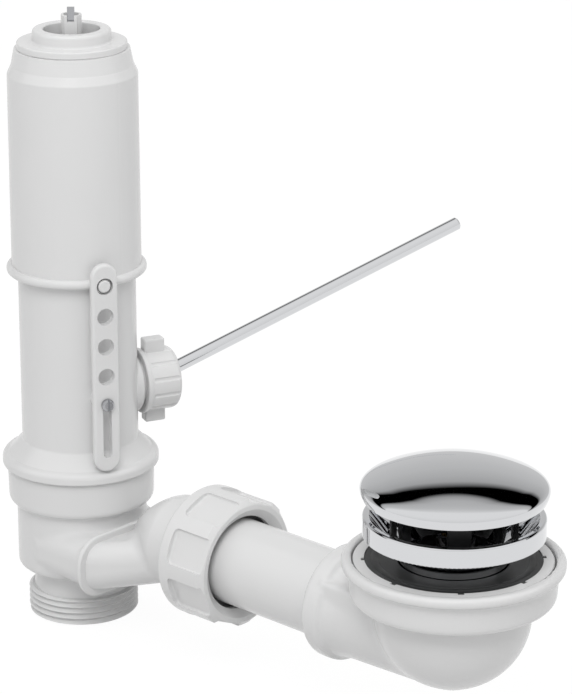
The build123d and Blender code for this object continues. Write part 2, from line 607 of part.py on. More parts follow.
def waste_body():
    """Bowl with a rimmed head, a side elbow for the pipe and a spider for the flange screw."""
    head = turned([
        (0, BOWL_Z), (BOWL_R, BOWL_Z), (BOWL_R, HEAD_BOTTOM, HEAD_BLEND),
        (HEAD_LOW_R, HEAD_BOTTOM, HEAD_ROUND),
        (HEAD_TOP_R, RIM_BOTTOM), (RIM_R, RIM_BOTTOM, 0.8), (RIM_R, RIM_TOP, 1.0), (0, RIM_TOP),
    ])
    bowl = half_bowl(BOWL_R)
    elbow = PIPE_FRAME * turned([
        (0, ELBOW_START), (BEAD_R, ELBOW_START, BEAD_ROUND), (BEAD_R, BEAD_END, BEAD_ROUND),
        (ELBOW_R + 0.8, BEAD_END), (ELBOW_R, BEAD_END + BEAD_CONE), (ELBOW_END_R, WASTE_X), (0, WASTE_X),
    ])
    elbow += PIPE_FRAME * Pos(0, 0, WASTE_X) * Sphere(ELBOW_END_R)
    shoulders = Pos(0, PIPE_Z + SHOULDER / 2) * Rectangle(2 * SHOULDER_HALF_WIDTH, SHOULDER)
    elbow += along_x(shoulders, BEAD_END - BEAD_ROUND, WASTE_X)
    recess = turned([
        (0, BOWL_Z), (BOWL_R - WALL, BOWL_Z), (BOWL_R - WALL, HEAD_FLOOR), (RECESS_R, HEAD_FLOOR),
        (RECESS_R, RECESS_STEP), (RECESS_MOUTH_R, RECESS_STEP), (RECESS_MOUTH_R, RIM_TOP), (0, RIM_TOP),
    ])
    hollow = half_bowl(BOWL_R - WALL)
    socket = rod(PIPE_R + FIT, ELBOW_START, PIPE_END) + rod(ELBOW_BORE_R, ELBOW_START, WASTE_X)
    socket += Pos(0, 0, WASTE_X) * Sphere(ELBOW_END_R - WALL)
    arm = bar(0, BOWL_R - WALL / 2, SPIDER_ARM, SPIDER_BOTTOM, SPIDER_TOP)
    spider = rod(SPIDER_HUB_R, SPIDER_BOTTOM, SPIDER_TOP) + around(arm, SPIDER_ARMS)
    pocket = rod(INSERT_R + FIT / 2, INSERT_BOTTOM, SPIDER_TOP)
    pocket += rod(SCREW_R + FIT, SPIDER_BOTTOM, SPIDER_TOP)
    body = WASTE_FRAME * (head + bowl) + elbow - WASTE_FRAME * (recess + hollow) - PIPE_FRAME * socket
    return body + WASTE_FRAME * (spider - pocket)


def seal_carrier():
    """Ring in the head that carries the gasket, with a notch for each of its tabs."""
    notch_end = GASKET_R + TAB_REACH + FIT
    skirt_inner = CARRIER_SKIRT_R - WALL
    plate_bottom = GASKET_SEAT - CARRIER_PLATE
    carrier = turned([
        (CARRIER_HOLE_R, plate_bottom), (CARRIER_HOLE_R, GASKET_SEAT), (GASKET_R + FIT, GASKET_SEAT),
        (GASKET_R + FIT, CARRIER_TOP), (CARRIER_R, CARRIER_TOP, 0.4), (CARRIER_R, RECESS_STEP),
        (CARRIER_SKIRT_R, RECESS_STEP), (CARRIER_SKIRT_R, HEAD_FLOOR), (skirt_inner, HEAD_FLOOR),
        (skirt_inner, plate_bottom),
    ])
    notch = bar(GASKET_R - 1, notch_end, TAB_WIDTH + 2 * FIT, GASKET_SEAT, CARRIER_TOP)
    return WASTE_FRAME * (carrier - around(notch, TAB_COUNT))


def basin_gasket():
    """Rubber gasket that the basin is clamped on, held in its carrier by tabs."""
    tab = bar(GASKET_R - 1, GASKET_R + TAB_REACH, TAB_WIDTH, GASKET_SEAT, GASKET_TOP)
    return WASTE_FRAME * (ring(GASKET_R, GASKET_HOLE_R, GASKET_SEAT, GASKET_TOP) + around(tab, TAB_COUNT))


def thread_insert():
    """Threaded bush in the spider."""
    return WASTE_FRAME * ring(INSERT_R, SCREW_R + FIT / 2, INSERT_BOTTOM, SPIDER_TOP)


def waste_flange():
    """Flange with a dished inside, a throat through the gasket and strainer bars."""
    throat_r = DRAIN_R - DRAIN_WALL
    dish = turned([
        (FLANGE_SEAT_R, FLANGE_BOTTOM), (FLANGE_R, FLANGE_BOTTOM, 0.4), (FLANGE_R, FLANGE_TOP, 0.9),
        (FLANGE_R - FLANGE_LIP, FLANGE_TOP, 0.6), (DISH_R, DISH_Z), (throat_r, DRAIN_SHOULDER),
        (throat_r, DRAIN_BOTTOM), (DRAIN_R, DRAIN_BOTTOM), (DRAIN_R, DRAIN_SHOULDER),
    ])
    strainer_bar = bar(0, throat_r + DRAIN_WALL / 2, STRAINER_BAR, STRAINER_BOTTOM, STRAINER_TOP)
    strainer = rod(STRAINER_HUB_R, STRAINER_BOTTOM, STRAINER_TOP) + around(strainer_bar, STRAINER_BARS)
    strainer -= rod(SCREW_R + FIT, STRAINER_BOTTOM, STRAINER_TOP)
    return WASTE_FRAME * (dish + strainer)


def flange_screw():
    """Screw that pulls the flange and the waste body together."""
    head = turned([
        (0, STRAINER_TOP), (SCREW_HEAD_R, STRAINER_TOP), (SCREW_HEAD_R, STRAINER_TOP + SCREW_HEAD, 1.2),
        (0, STRAINER_TOP + SCREW_HEAD),
    ])
    drive = Pos(0, 0, STRAINER_TOP + SCREW_HEAD) * Box(2 * SCREW_HEAD_R, 1.4, SCREW_HEAD)
    return WASTE_FRAME * (head - drive + rod(SCREW_R, SCREW_BOTTOM, STRAINER_TOP))


def cover_blank(inset):
    """Solid shape of the cover; inset gives its inside."""
    radius = COVER_R - inset
    dome_r = COVER_SPHERE_R - inset
    shoulder = COVER_CENTRE + sqrt(dome_r ** 2 - radius ** 2)
    start = degrees(atan2(shoulder - COVER_CENTRE, radius))
    section = CenterArc((0, COVER_CENTRE), dome_r, start, 90 - start)
    top = COVER_CENTRE + dome_r
    section += Polyline((radius, shoulder), (radius, COVER_EDGE), (0, COVER_EDGE), (0, top))
    blank = revolve(Plane.XZ * make_face(section), Axis.Z)
    side = blank.faces().filter_by(GeomType.CYLINDER)[0]
    return fillet(side.edges().sort_by(Axis.Z)[-1], COVER_ROUND - inset)


def cover_cap():
    """Domed cover with rounded shoulders and a boss for its carrier."""
    boss = rod(COVER_BOSS_R, COVER_BOSS_BOTTOM, COVER_SHOULDER + COVER_RISE - COVER_WALL / 2)
    return WASTE_FRAME * (cover_blank(0) - cover_blank(COVER_WALL) + boss)


def cap_carrier():
    """Legged carrier that stands in the flange's dish and holds the cover."""
    disc_top = CARRIER_DISC_BOTTOM + CARRIER_DISC
    throat_r = DRAIN_R - DRAIN_WALL
    leg_bottom = DRAIN_SHOULDER + (DISH_Z - DRAIN_SHOULDER) * (LEG_R - throat_r) / (DISH_R - throat_r)
    leg = bar(LEG_R - LEG_THICKNESS, LEG_R, LEG_WIDTH, leg_bottom, CARRIER_DISC_BOTTOM)
    leg &= rod(LEG_R, leg_bottom, CARRIER_DISC_BOTTOM)
    disc = rod(LEG_R, CARRIER_DISC_BOTTOM, disc_top)
    post = rod(CARRIER_POST_R, CARRIER_DISC_BOTTOM, COVER_BOSS_BOTTOM)
    return WASTE_FRAME * (disc + post + around(leg, LEG_COUNT, first=180 / LEG_COUNT))


# Tower

def outer_tube():
    """Tower tube with its flared foot, the lever's boss and the guide screw's pillar."""
    skin = turned([
        (0, TUBE_BOTTOM), (TUBE_R, TUBE_BOTTOM), (TUBE_R, CUP_TOP), (FOOT_R, CUP_TOP, 0.8),
        (FOOT_R, FOOT_EDGE, FOOT_ROUND), (FOOT_RIDGE_R, FOOT_RIDGE, 0.4), (TUBE_R, FOOT_TOP, 0.8),
        (TUBE_R, TUBE_TOP), (0, TUBE_TOP),
    ])
    slope = (FOOT_TOP - FOOT_RIDGE) / (FOOT_RIDGE_R - TUBE_R)
    roof = FOOT_TOP - WALL * hypot(1, slope)
    flare_r = CUP_TOP_R - WALL
    flare = turned([
        (TUBE_R, CUP_TOP), (flare_r, CUP_TOP), (flare_r, roof - slope * (flare_r - TUBE_R)), (TUBE_R, roof),
    ])
    boss = LEVER_FRAME * (rod(BOSS_R, 0, BOSS_END) + rod(SOCKET_R, 0, SOCKET_END))
    wall_middle = (TUBE_R + TUBE_BORE_R) / 2
    pillar = STRIP_FRAME * Pos(0, SLOT_TOP, 0) * rod(GUIDE_PILLAR_R, wall_middle, STRIP_BACK - SLIDE)
    lever_way = rod(LEVER_HOLE_R, 0, SOCKET_END) + rod(SOCKET_BORE_R, SOCKET_STEP, SOCKET_END)
    screw_way = STRIP_FRAME * Pos(0, SLOT_TOP, 0) * rod(GUIDE_SHANK_R + FIT / 2, TUBE_R, STRIP_BACK)
    bore = rod(TUBE_BORE_R, TUBE_BOTTOM, TUBE_TOP)
    return skin + boss + pillar - flare - bore - LEVER_FRAME * lever_way - screw_way


def tube_seal():
    """Rubber ring between the tube and the cup."""
    return ring(CUP_LOW_R - WALL - FIT, TUBE_R + FIT, CUP_FLOOR, CUP_FLOOR + TUBE_SEAL_HEIGHT)


def sleeve_seal():
    """Wiper ring on the tube's top end."""
    top = TUBE_TOP + SLEEVE_SEAL_HEIGHT
    middle = (TUBE_TOP + top) / 2
    return turned([
        (TUBE_BORE_R, TUBE_TOP), (TUBE_R, TUBE_TOP), (SLEEVE_BORE_R - FIT, middle), (TUBE_R, top),
        (TUBE_BORE_R, top),
    ])


def guide_screw():
    """Pan-head screw that the slotted strip slides on."""
    head_start = STRIP_FACE + SLIDE
    head = turned([
        (0, head_start), (GUIDE_HEAD_R, head_start), (GUIDE_HEAD_R, head_start + GUIDE_HEAD, 0.9),
        (0, head_start + GUIDE_HEAD),
    ])
    drive = Pos(0, 0, head_start + GUIDE_HEAD) * Box(0.7, 2 * GUIDE_HEAD_R, GUIDE_HEAD)
    return STRIP_FRAME * Pos(0, SLOT_TOP, 0) * (head - drive + rod(GUIDE_SHANK_R, TUBE_R + FIT, head_start))


# Sleeve

def upper_sleeve():
    """Telescopic sleeve with a bead lip, a peg for the strip and a conical top."""
    lip_top = SLEEVE_BOTTOM + LIP_HEIGHT
    skin = turned([
        (0, SLEEVE_BOTTOM), (LIP_R, SLEEVE_BOTTOM, LIP_ROUND), (LIP_R, lip_top, LIP_ROUND),
        (SLEEVE_LOW_R, lip_top), (SLEEVE_TOP_R, SLEEVE_BEVEL, BEVEL_ROUND),
        (BEVEL_TOP_R, BEVEL_TOP, BEVEL_ROUND), (CONE_TOP_R, CONE_TOP), (0, CONE_TOP),
    ])
    hollow = turned([
        (0, SLEEVE_BOTTOM), (SLEEVE_BORE_R, SLEEVE_BOTTOM), (SLEEVE_BORE_R, SLEEVE_BEVEL - TUBE_WALL / 2),
        (BEVEL_TOP_R - TUBE_WALL, BEVEL_TOP - TUBE_WALL / 2), (CONE_TOP_R - TUBE_WALL, CONE_TOP),
        (0, CONE_TOP),
    ])
    wall_middle = (SLEEVE_LOW_R + SLEEVE_BORE_R) / 2
    root_r = STRIP_HOLE_R - FIT
    peg = turned([
        (0, wall_middle), (PEG_BOSS_R, wall_middle), (PEG_BOSS_R, STRIP_BACK), (root_r, STRIP_BACK),
        (root_r, STRIP_FACE - PEG_TIP), (PEG_TIP_R, STRIP_FACE - PEG_TIP),
        (PEG_TIP_R, STRIP_FACE, PEG_ROUND),
        (0, STRIP_FACE),
    ])
    return skin - hollow + STRIP_FRAME * Pos(0, PEG_Z, 0) * peg


def sleeve_cap():
    """Head of the sleeve: plate with a neck ring round the stem's hole and a spigot into the cone."""
    spigot_r = CONE_TOP_R - TUBE_WALL - FIT
    plate_bottom = CAP_TOP - CAP_PLATE
    return turned([
        (CAP_HOLE_R, plate_bottom), (CAP_HOLE_R, CAP_NECK_TOP, 0.6), (CAP_NECK_R, CAP_NECK_TOP, 1.4),
        (CAP_NECK_R, CAP_TOP, 0.8), (CAP_R, CAP_TOP, 0.6), (CAP_R, CONE_TOP, 0.3), (spigot_r, CONE_TOP),
        (spigot_r, CONE_TOP - CAP_SPIGOT), (spigot_r - TUBE_WALL, CONE_TOP - CAP_SPIGOT),
        (spigot_r - TUBE_WALL, plate_bottom),
    ])


def height_strip():
    """Strip with a row of peg holes and a slot for the guide screw."""
    length = STRIP_TOP - STRIP_BOTTOM
    blank = Pos(0, (STRIP_TOP + STRIP_BOTTOM) / 2) * Rot(0, 0, 90) * SlotOverall(length, STRIP_WIDTH)
    strip = Pos(0, 0, STRIP_BACK) * extrude(blank, STRIP_THICKNESS)
    strip = fillet(strip.faces().filter_by(Axis.Z).edges(), STRIP_EDGE)
    for index in range(STRIP_HOLES):
        strip -= Pos(0, PEG_Z - index * STRIP_PITCH, 0) * rod(STRIP_HOLE_R, STRIP_BACK, STRIP_FACE)
    slot_r = GUIDE_SHANK_R + SLIDE
    slot = Pos(0, SLOT_TOP - SLOT_TRAVEL / 2) * Rot(0, 0, 90) * SlotCenterToCenter(SLOT_TRAVEL, 2 * slot_r)
    return STRIP_FRAME * (strip - Pos(0, 0, STRIP_BACK) * extrude(slot, STRIP_THICKNESS))


# Standpipe

def standpipe():
    """Overflow pipe with a seal flange, a lifting collar and guide ribs in the outlet."""
    bore = STANDPIPE_R - STANDPIPE_WALL
    pipe = rod(STANDPIPE_R, STANDPIPE_BOTTOM, STANDPIPE_TOP)
    pipe += rod(SEAL_FLANGE_R, SEAL_FLANGE_BOTTOM, SEAL_FLANGE_BOTTOM + SEAL_FLANGE)
    pipe += turned([
        (0, COLLAR_BOTTOM), (COLLAR_R, COLLAR_BOTTOM), (COLLAR_R, COLLAR_BOTTOM + COLLAR),
        (STANDPIPE_R, COLLAR_BOTTOM + 2 * COLLAR), (0, COLLAR_BOTTOM + 2 * COLLAR),
    ])
    rib = bar(bore, OUTLET_R - SLIDE, GUIDE_RIB, STANDPIPE_BOTTOM, GUIDE_RIB_TOP)
    return pipe + around(rib, GUIDE_RIBS) - rod(bore, STANDPIPE_BOTTOM, STANDPIPE_TOP)


def seat_seal():
    """Rubber ring under the standpipe's flange."""
    return ring(SEAL_FLANGE_R, STANDPIPE_R + FIT, SEAT_TOP, SEAL_FLANGE_BOTTOM)


def lift_stem():
    """Stem on a spoked ring in the standpipe's top, with a bore and a front window for its blade."""
    ring_r = STANDPIPE_R - STANDPIPE_WALL - FIT
    ring_bottom = STANDPIPE_TOP - STEM_RING
    arm = bar(0, ring_r - STANDPIPE_WALL / 2, STEM_ARM, ring_bottom, ring_bottom + STEM_RING / 2)
    hoop = ring(ring_r, ring_r - STANDPIPE_WALL, ring_bottom, STANDPIPE_TOP)
    stem = rod(STEM_R, STEM_BOTTOM, STEM_TOP) + hoop + around(arm, STEM_ARMS)
    stem += bar(0, STEM_RIB_FACE, STEM_RIB, STANDPIPE_TOP, STEM_TOP)
    stem -= rod(STEM_BORE_R, STEM_BORE_FLOOR, STEM_TOP)
    window = bar(0, STEM_RIB_FACE, STEM_WINDOW, STEM_SILL, STEM_TOP)
    return Rot(0, 0, STEM_HEADING) * (stem - window)


def stem_blade():
    """Flat metal blade in the stem's bore."""
    blade = bar(BLADE_BACK, BLADE_BACK + BLADE_THICKNESS, BLADE_WIDTH, STEM_BORE_FLOOR, BLADE_TOP)
    return Rot(0, 0, STEM_HEADING) * blade


# Lever

def lever_rod():
    """Rod from the outer end through the ball to the rounded tip under the standpipe's collar."""
    end = ROD_REACH - ROD_CHAMFER
    shank = turned([
        (0, -ROD_TIP_REACH), (ROD_INNER_R, -ROD_TIP_REACH), (ROD_INNER_R, -BALL_R), (ROD_BALL_R, -BALL_R),
        (ROD_BALL_R, BALL_R - 1), (ROD_R, BALL_R - 1), (ROD_R, end), (ROD_R - ROD_CHAMFER, ROD_REACH),
        (0, ROD_REACH),
    ])
    return ROD_FRAME * (shank + Pos(0, 0, -ROD_TIP_REACH) * Sphere(ROD_TIP_R))


def pivot_ball():
    """Ball on the rod."""
    bore = rod(ROD_BALL_R + FIT / 2, -BALL_R, BALL_R) + rod(ROD_R + FIT / 2, BALL_R - 1, BALL_R)
    return ROD_FRAME * (Sphere(BALL_R) - bore)


def ball_seat(start, end):
    """Ring with a hollow that fits the ball, in the lever boss's frame."""
    blank = ring(SOCKET_BORE_R - FIT, SEAT_HOLE_R, start, end)
    return LEVER_FRAME * (blank - Pos(0, 0, BALL_DISTANCE) * Sphere(BALL_R + SWING))


def ball_seat_inner():
    """Seat on the tower's side of the ball."""
    return ball_seat(SOCKET_STEP, SOCKET_STEP + SEAT_LENGTH)


def ball_seat_outer():
    """Seat on the nut's side of the ball."""
    start = 2 * BALL_DISTANCE - SOCKET_STEP - SEAT_LENGTH
    return ball_seat(start, start + SEAT_LENGTH)


def lever_nut():
    """Winged nut that holds the ball in the boss."""
    seat_end = 2 * BALL_DISTANCE - SOCKET_STEP
    bead_r = LEVER_NUT_R + LEVER_NUT_BEAD
    bead_end = LEVER_NUT_START + LEVER_NUT_BEAD_WIDTH
    blank = turned([
        (0, LEVER_NUT_START), (bead_r, LEVER_NUT_START, 0.4), (bead_r, bead_end, 0.4),
        (LEVER_NUT_R, bead_end),
        (LEVER_NUT_R, LEVER_NUT_END, LEVER_NUT_ROUND), (0, LEVER_NUT_END),
    ])
    flute = Pos(LEVER_NUT_R + FLUTE_R / 2, 0, 0) * rod(FLUTE_R, FLUTE_START, LEVER_NUT_END)
    flutes = around(flute, LEVER_NUT_FLUTES, first=180 / LEVER_NUT_FLUTES)
    wing_middle = (WING_START + WING_END) / 2
    wings = Pos(0, 0, wing_middle) * Box(WING_THICKNESS, 2 * WING_SPAN, WING_END - WING_START)
    wings = fillet(wings.edges(), WING_ROUND)
    bore = rod(SOCKET_R + FIT, LEVER_NUT_START, SOCKET_END + SWING)
    bore += rod(SOCKET_BORE_R, LEVER_NUT_START, seat_end)
    bore += rod(LEVER_NUT_HOLE_R, LEVER_NUT_START, LEVER_NUT_END)
    return LEVER_FRAME * (blank - flutes + wings - bore)


PIECES = [
    base_body, inlet_neck, compression_nut, slip_washer, pipe_seal, connecting_pipe,
    waste_body, seal_carrier, basin_gasket, thread_insert, waste_flange, flange_screw,
    cover_cap, cap_carrier,
    outer_tube, tube_seal, sleeve_seal, guide_screw, upper_sleeve, sleeve_cap, height_strip,
    standpipe, seat_seal, lift_stem, stem_blade,
    lever_rod, pivot_ball, ball_seat_inner, ball_seat_outer, lever_nut,
]

os.makedirs("parts", exist_ok=True)
for piece in PIECES:
    export_step(piece(), f"parts/{piece.__name__}.step")
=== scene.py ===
"""Looks of a bath waste and overflow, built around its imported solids.

The solids are the fixed frame. The outlet gets its screw thread, the foot and the waste their soft moulded
corners, the gasket its sealing bead, the cover its rolled lip, and every surface the finish of its real
material. Metres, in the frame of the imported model: the tower stands on the Z axis and the pipe runs along
+X to the waste.
"""
import json
import logging
import math
from dataclasses import dataclass
from enum import Enum
from typing import Any

import bmesh
import bpy
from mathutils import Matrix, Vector, geometry

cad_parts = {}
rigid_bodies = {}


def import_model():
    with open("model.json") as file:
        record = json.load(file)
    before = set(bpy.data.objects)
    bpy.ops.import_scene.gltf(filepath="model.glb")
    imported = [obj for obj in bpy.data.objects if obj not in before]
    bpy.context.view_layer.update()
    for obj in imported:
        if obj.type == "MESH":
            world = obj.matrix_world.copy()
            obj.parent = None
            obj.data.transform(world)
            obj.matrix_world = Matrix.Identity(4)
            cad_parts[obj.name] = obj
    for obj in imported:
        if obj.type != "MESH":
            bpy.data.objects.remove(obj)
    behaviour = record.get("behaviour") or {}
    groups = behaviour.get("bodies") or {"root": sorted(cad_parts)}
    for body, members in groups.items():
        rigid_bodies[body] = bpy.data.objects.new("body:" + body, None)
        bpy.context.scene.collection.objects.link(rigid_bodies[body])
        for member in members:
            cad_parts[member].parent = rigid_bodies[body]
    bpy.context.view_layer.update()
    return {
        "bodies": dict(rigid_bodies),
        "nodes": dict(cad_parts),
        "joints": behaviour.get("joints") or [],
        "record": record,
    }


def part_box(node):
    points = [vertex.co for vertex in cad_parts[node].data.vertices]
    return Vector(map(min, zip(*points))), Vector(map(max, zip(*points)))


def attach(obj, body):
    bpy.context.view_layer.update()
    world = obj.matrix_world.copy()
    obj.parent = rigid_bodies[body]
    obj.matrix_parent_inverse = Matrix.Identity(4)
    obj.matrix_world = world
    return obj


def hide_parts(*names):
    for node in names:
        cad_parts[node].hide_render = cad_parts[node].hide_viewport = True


LOG = logging.getLogger("waste_and_overflow")
MM = 0.001

# Points nearer than this are one point, in millimetres
WELD = 0.001

# Angles in degrees above which an edge stays sharp: on pressed and turned pieces, and on moulded skins
CREASE = 32.0
NO_CREASE = 180.0


class Body(Enum):
    """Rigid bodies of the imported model."""

    BASE = "base"
    SLEEVE = "sleeve"
    OVERFLOW = "overflow"
    LEVER = "lever"


class Slot(Enum):
    """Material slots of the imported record."""

    WHITE_PLASTIC = "white_plastic"
    DARK_PLASTIC = "dark_plastic"
    GREY_RUBBER = "grey_rubber"
    CHROME = "chrome"
    STEEL = "steel"
    BRASS = "brass"


def linear(code: str) -> tuple[float, float, float, float]:
    """Turns an sRGB hex code into a linear colour.

    Args:
        code: A hash sign and six hex digits.

    Returns:
        Red, green, blue and alpha.
    """
    channels = [int(code[start:start + 2], 16) / 255 for start in (1, 3, 5)]
    return (*[c / 12.92 if c <= 0.04045 else ((c + 0.055) / 1.055) ** 2.4 for c in channels], 1.0)


def per_size(size: float) -> float:
    """Returns the texture scale that gives a pattern this size in millimetres."""
    return 1 / (size * MM)


def add_node(tree: bpy.types.NodeTree, kind: str, inputs: dict[str, Any] | None = None,
             **settings: Any) -> bpy.types.Node:
    """Adds a node with its settings, values and links.

    Args:
        tree: Node tree that gets the node.
        kind: Type name of the node.
        inputs: Socket names, each with a value or with the output that it is linked to.
        settings: Attributes of the node.

    Returns:
        The new node.
    """
    node = tree.nodes.new(kind)
    for name, value in settings.items():
        setattr(node, name, value)
    for name, value in (inputs or {}).items():
        if isinstance(value, bpy.types.NodeSocket):
            tree.links.new(value, node.inputs[name])
        else:
            node.inputs[name].default_value = value
    return node


@dataclass(frozen=True)
class Finish:
    """A surface finish, with its colour as sRGB hex and sizes in millimetres."""

    name: str
    colour: str
    roughness: float
    haze: float
    haze_size: float

    def begin(self, **shader: Any) -> tuple[bpy.types.Material, bpy.types.Node, bpy.types.NodeSocket]:
        """Starts the material: its shader, and gloss that varies a little from place to place.

        Args:
            shader: Values of the shader's own sockets, with underscores for spaces.

        Returns:
            The material, its shader and the Object coordinates.
        """
        material = bpy.data.materials.new(self.name)
        material.use_nodes = True
        tree = material.node_tree
        tree.nodes.clear()
        place = add_node(tree, "ShaderNodeTexCoord").outputs["Object"]
        noise = add_node(tree, "ShaderNodeTexNoise", {
            "Vector": place, "Scale": per_size(self.haze_size), "Detail": 3.0,
        })
        gloss = add_node(tree, "ShaderNodeMapRange", {
            "Value": noise.outputs["Fac"], "From Min": 0.3, "From Max": 0.7,
            "To Min": self.roughness - self.haze, "To Max": self.roughness + self.haze,
        })
        sockets = {name.replace("_", " "): value for name, value in shader.items()}
        principled = add_node(tree, "ShaderNodeBsdfPrincipled", {
            "Base Color": linear(self.colour), "Roughness": gloss.outputs["Result"], **sockets,
        })
        add_node(tree, "ShaderNodeOutputMaterial", {"Surface": principled.outputs["BSDF"]})
        return material, principled, place


@dataclass(frozen=True)
class MouldedPlastic(Finish):
    """Injection-moulded polypropylene: soft gloss, faint mottling and the dull skin of the mould."""

    shade: str
    mottle: float
    grain: float
    relief: float

    def material(self) -> bpy.types.Material:
        """Makes the material.

        Returns:
            The finished material.
        """
        material, shader, place = self.begin(IOR=1.49)
        tree = material.node_tree
        cloud = add_node(tree, "ShaderNodeTexNoise", {
            "Vector": place, "Scale": per_size(self.mottle), "Detail": 2.0,
        })
        tone = add_node(tree, "ShaderNodeMix", {
            "Factor": cloud.outputs["Fac"], "A": linear(self.colour), "B": linear(self.shade),
        }, data_type="RGBA")
        tree.links.new(tone.outputs["Result"], shader.inputs["Base Color"])
        skin = add_node(tree, "ShaderNodeTexNoise", {
            "Vector": place, "Scale": per_size(self.grain), "Detail": 2.0,
        })
        bump = add_node(tree, "ShaderNodeBump", {
            "Height": skin.outputs["Fac"], "Distance": self.relief * MM, "Strength": 1.0,
        })
        tree.links.new(bump.outputs["Normal"], shader.inputs["Normal"])
        return material


@dataclass(frozen=True)
class Metal(Finish):
    """Plated or bare metal: clear reflections with a little polishing haze."""

    def material(self) -> bpy.types.Material:
        """Returns the finished material."""
        return self.begin(Metallic=1.0)[0]


# Sub-assemblies

@dataclass(frozen=True)
class Region:
    """A box in which inner corners are blended. Millimetres and degrees.

    Attributes:
        low: Lowest corner.
        high: Highest corner.
        rings: How many rows of faces beside a corner are drawn in.
        sharpness: Angle between faces from which an edge counts as an inner corner.
    """

    low: tuple[float, float, float]
    high: tuple[float, float, float]
    rings: int
    sharpness: float = 12.0

    def holds(self, point: Vector) -> bool:
        """Returns whether a point in metres lies in the box."""
        return all(a * MM <= c <= b * MM for a, c, b in zip(self.low, point, self.high))


@dataclass
class SubAssembly:
    """Pieces that are built and dressed together.

    Attributes:
        looks: The finished material of each slot.
    """

    frame: dict[str, Any]
    looks: dict[Slot, bpy.types.Material]

    def dress(self, slot: Slot, *nodes: str) -> None:
        """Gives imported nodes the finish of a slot.

        Args:
            slot: Slot whose finish they get.
            nodes: Names of the nodes.
        """
        for name in nodes:
            mesh = self.frame["nodes"][name].data
            mesh.materials.clear()
            mesh.materials.append(self.looks[slot])
            LOG.info("%s dressed in %s", name, slot.value)

    def copy_of(self, node: str) -> bmesh.types.BMesh:
        """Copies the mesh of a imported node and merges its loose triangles.

        Args:
            node: Name of the node.

        Returns:
            The merged copy.
        """
        bm = bmesh.new()
        bm.from_mesh(self.frame["nodes"][node].data)
        bmesh.ops.remove_doubles(bm, verts=bm.verts, dist=WELD * MM)
        return bm

    def show(self, name: str, bm: bmesh.types.BMesh, slot: Slot, body: Body, *replaced: str,
             crease: float = CREASE) -> bpy.types.Object:
        """Makes a finished piece from a mesh in the making.

        Args:
            name: Name of the piece.
            bm: The mesh, which is freed.
            slot: Slot that it takes its finish from.
            body: Body that it moves with.
            replaced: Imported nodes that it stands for.
            crease: Angle in degrees above which an edge stays sharp.

        Returns:
            The piece.
        """
        mesh = bpy.data.meshes.new(name)
        bm.to_mesh(mesh)
        bm.free()
        mesh.shade_smooth()
        mesh.set_sharp_from_angle(angle=math.radians(crease))
        mesh.materials.append(self.looks[slot])
        piece = bpy.data.objects.new(name, mesh)
        bpy.context.scene.collection.objects.link(piece)
        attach(piece, body.value)
        if replaced:
            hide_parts(*replaced)
        LOG.info("%s made, %d faces", name, len(mesh.polygons))
        return piece

    def remeshed(self, bm: bmesh.types.BMesh, grid: float) -> bmesh.types.BMesh:
        """Gives a mesh an even skin, with its edges rounded as a mould leaves them.

        Args:
            bm: The mesh, which is freed.
            grid: Spacing of the new skin in millimetres.

        Returns:
            The mesh with its new skin.
        """
        mesh = bpy.data.meshes.new("rough_skin")
        bm.to_mesh(mesh)
        bm.free()
        holder = bpy.data.objects.new("rough_skin", mesh)
        bpy.context.scene.collection.objects.link(holder)
        skin = holder.modifiers.new("even_skin", "REMESH")
        skin.mode = "VOXEL"
        skin.voxel_size = grid * MM
        even = bmesh.new()
        even.from_object(holder, bpy.context.evaluated_depsgraph_get())
        bpy.data.objects.remove(holder)
        bpy.data.meshes.remove(mesh)
        return even

    def smooth(self, bm: bmesh.types.BMesh, verts: list[bmesh.types.BMVert], rounds: int) -> None:
        """Evens out a part of a mesh.

        Args:
            bm: The mesh.
            verts: Vertices of the part.
            rounds: How many times they are drawn to their neighbours.
        """
        for _ in range(rounds):
            bmesh.ops.smooth_vert(
                bm, verts=verts, factor=0.5, use_axis_x=True, use_axis_y=True, use_axis_z=True,
            )

    def blend(self, bm: bmesh.types.BMesh, region: Region, rounds: int) -> None:
        """Turns the sharp inner corners of a region into soft blends.

        Args:
            bm: The mesh, with an even skin.
            region: Where the corners are.
            rounds: How many times they are smoothed.
        """
        bm.normal_update()
        sharp = -math.radians(region.sharpness)
        corner = {
            vert for edge in bm.edges if edge.is_manifold and edge.calc_face_angle_signed() < sharp
            for vert in edge.verts if region.holds(vert.co)
        }
        for _ in range(region.rings):
            corner |= {edge.other_vert(vert) for vert in corner for edge in vert.link_edges}
        self.smooth(bm, list(corner), rounds)


